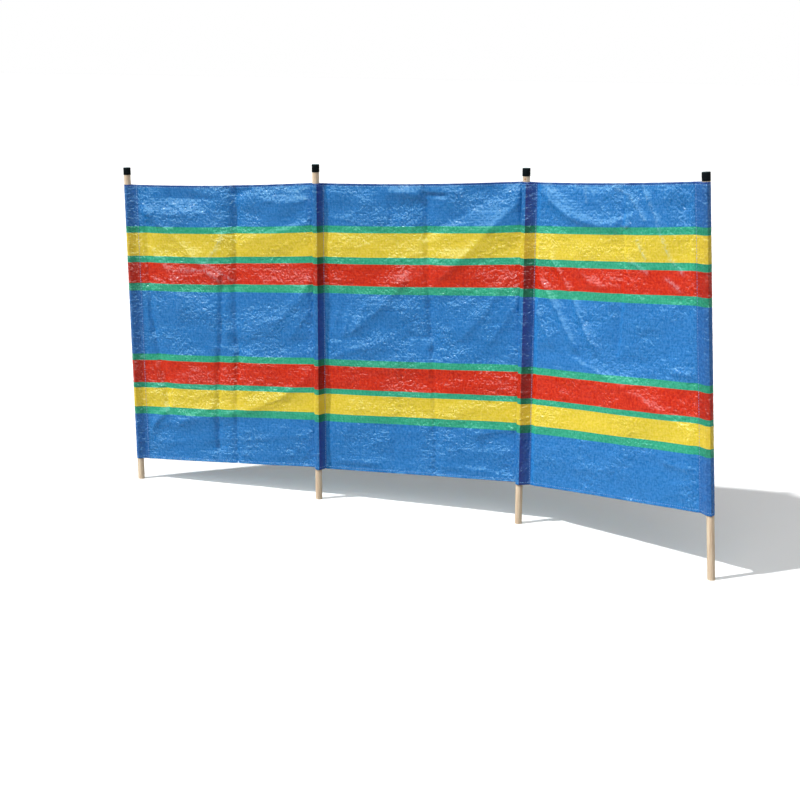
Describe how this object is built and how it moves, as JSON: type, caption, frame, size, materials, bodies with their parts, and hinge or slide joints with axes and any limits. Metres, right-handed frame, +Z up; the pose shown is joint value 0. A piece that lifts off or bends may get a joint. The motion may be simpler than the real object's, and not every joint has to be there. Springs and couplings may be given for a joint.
{
  "type": "beach windbreak",
  "caption": "Striped woven plastic cloth in flat bays, carried by round wooden poles that run through sewn pockets and end in plastic caps.",
  "frame": {"origin": "centre of the foot of pole 1, at ground level", "axes": "+X along the run from pole 1 to pole 4, -Y towards the front, where the pole pockets bulge, +Z up"},
  "size_m": [2.3627, 0.2743, 1.2954],
  "materials": {
    "pole_wood": "planed, bare",
    "cap_plastic": "satin moulded",
    "cloth": "woven plastic tape with a glossy coat"
  },
  "bodies": {
    "root": {"bottom_hem_1": "cloth", "bottom_hem_2": "cloth", "bottom_hem_3": "cloth", "cap_1": "cap_plastic", "cap_2": "cap_plastic", "cap_3": "cap_plastic", "cap_4": "cap_plastic", "panel_1": "cloth", "panel_2": "cloth", "panel_3": "cloth", "pocket_1": "cloth", "pocket_2": "cloth", "pocket_3": "cloth", "pocket_4": "cloth", "pole_1": "pole_wood", "pole_2": "pole_wood", "pole_3": "pole_wood", "pole_4": "pole_wood", "top_hem_1": "cloth", "top_hem_2": "cloth", "top_hem_3": "cloth"}
  },
  "joints": []
}
